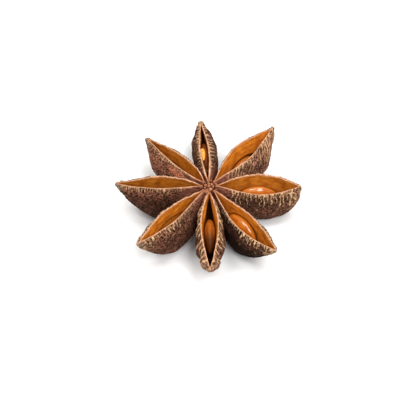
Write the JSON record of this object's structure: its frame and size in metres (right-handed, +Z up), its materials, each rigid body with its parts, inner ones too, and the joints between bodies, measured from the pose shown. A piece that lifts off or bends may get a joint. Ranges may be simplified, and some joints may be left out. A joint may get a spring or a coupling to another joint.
{
  "type": "star anise pod",
  "caption": "Dried star anise: boat-shaped woody carpels spread round a short column, split open along the top, with glossy seeds in some of them.",
  "frame": {"origin": "on the surface the pod lies on, under the middle of its outline seen from above", "axes": "+Z up, out of the open side of the pod; +X along the east carpel and +Y along the north one, to the nearest few degrees"},
  "size_m": [0.0382, 0.0382, 0.0127],
  "materials": {
    "pod_wall": "matte, wrinkled outside; smooth ochre inside",
    "seed_coat": "glossy"
  },
  "bodies": {
    "root": {"pod": "pod_wall", "seed_east": "seed_coat", "seed_northeast": "seed_coat", "seed_north": "seed_coat", "seed_south": "seed_coat", "seed_southeast": "seed_coat"}
  },
  "joints": []
}
